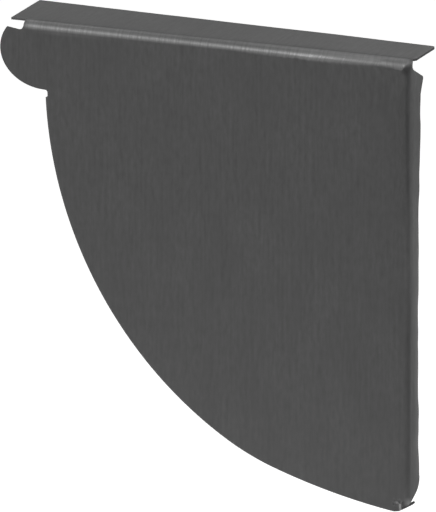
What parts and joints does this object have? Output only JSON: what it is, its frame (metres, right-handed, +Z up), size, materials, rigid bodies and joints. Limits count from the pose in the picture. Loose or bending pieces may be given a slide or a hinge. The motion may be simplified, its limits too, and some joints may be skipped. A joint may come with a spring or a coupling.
{
  "type": "gutter end cap",
  "caption": "Dark grey zinc end cap for a quarter-round gutter: flat plate with a round bead cover, a wide top flange, a narrow back flange and a flange along the curve.",
  "frame": {"origin": "on the inner face of the plate and the outer face of the back flange, level with the centre of the round edge", "axes": "+X to the gutter's back wall, +Y along the gutter away from the plate, +Z up"},
  "size_m": [0.1402, 0.022, 0.1443],
  "materials": {
    "weathered_zinc": "matt pre-weathered dark grey rolled zinc"
  },
  "bodies": {
    "root": {"end_cap": "weathered_zinc"}
  },
  "joints": []
}
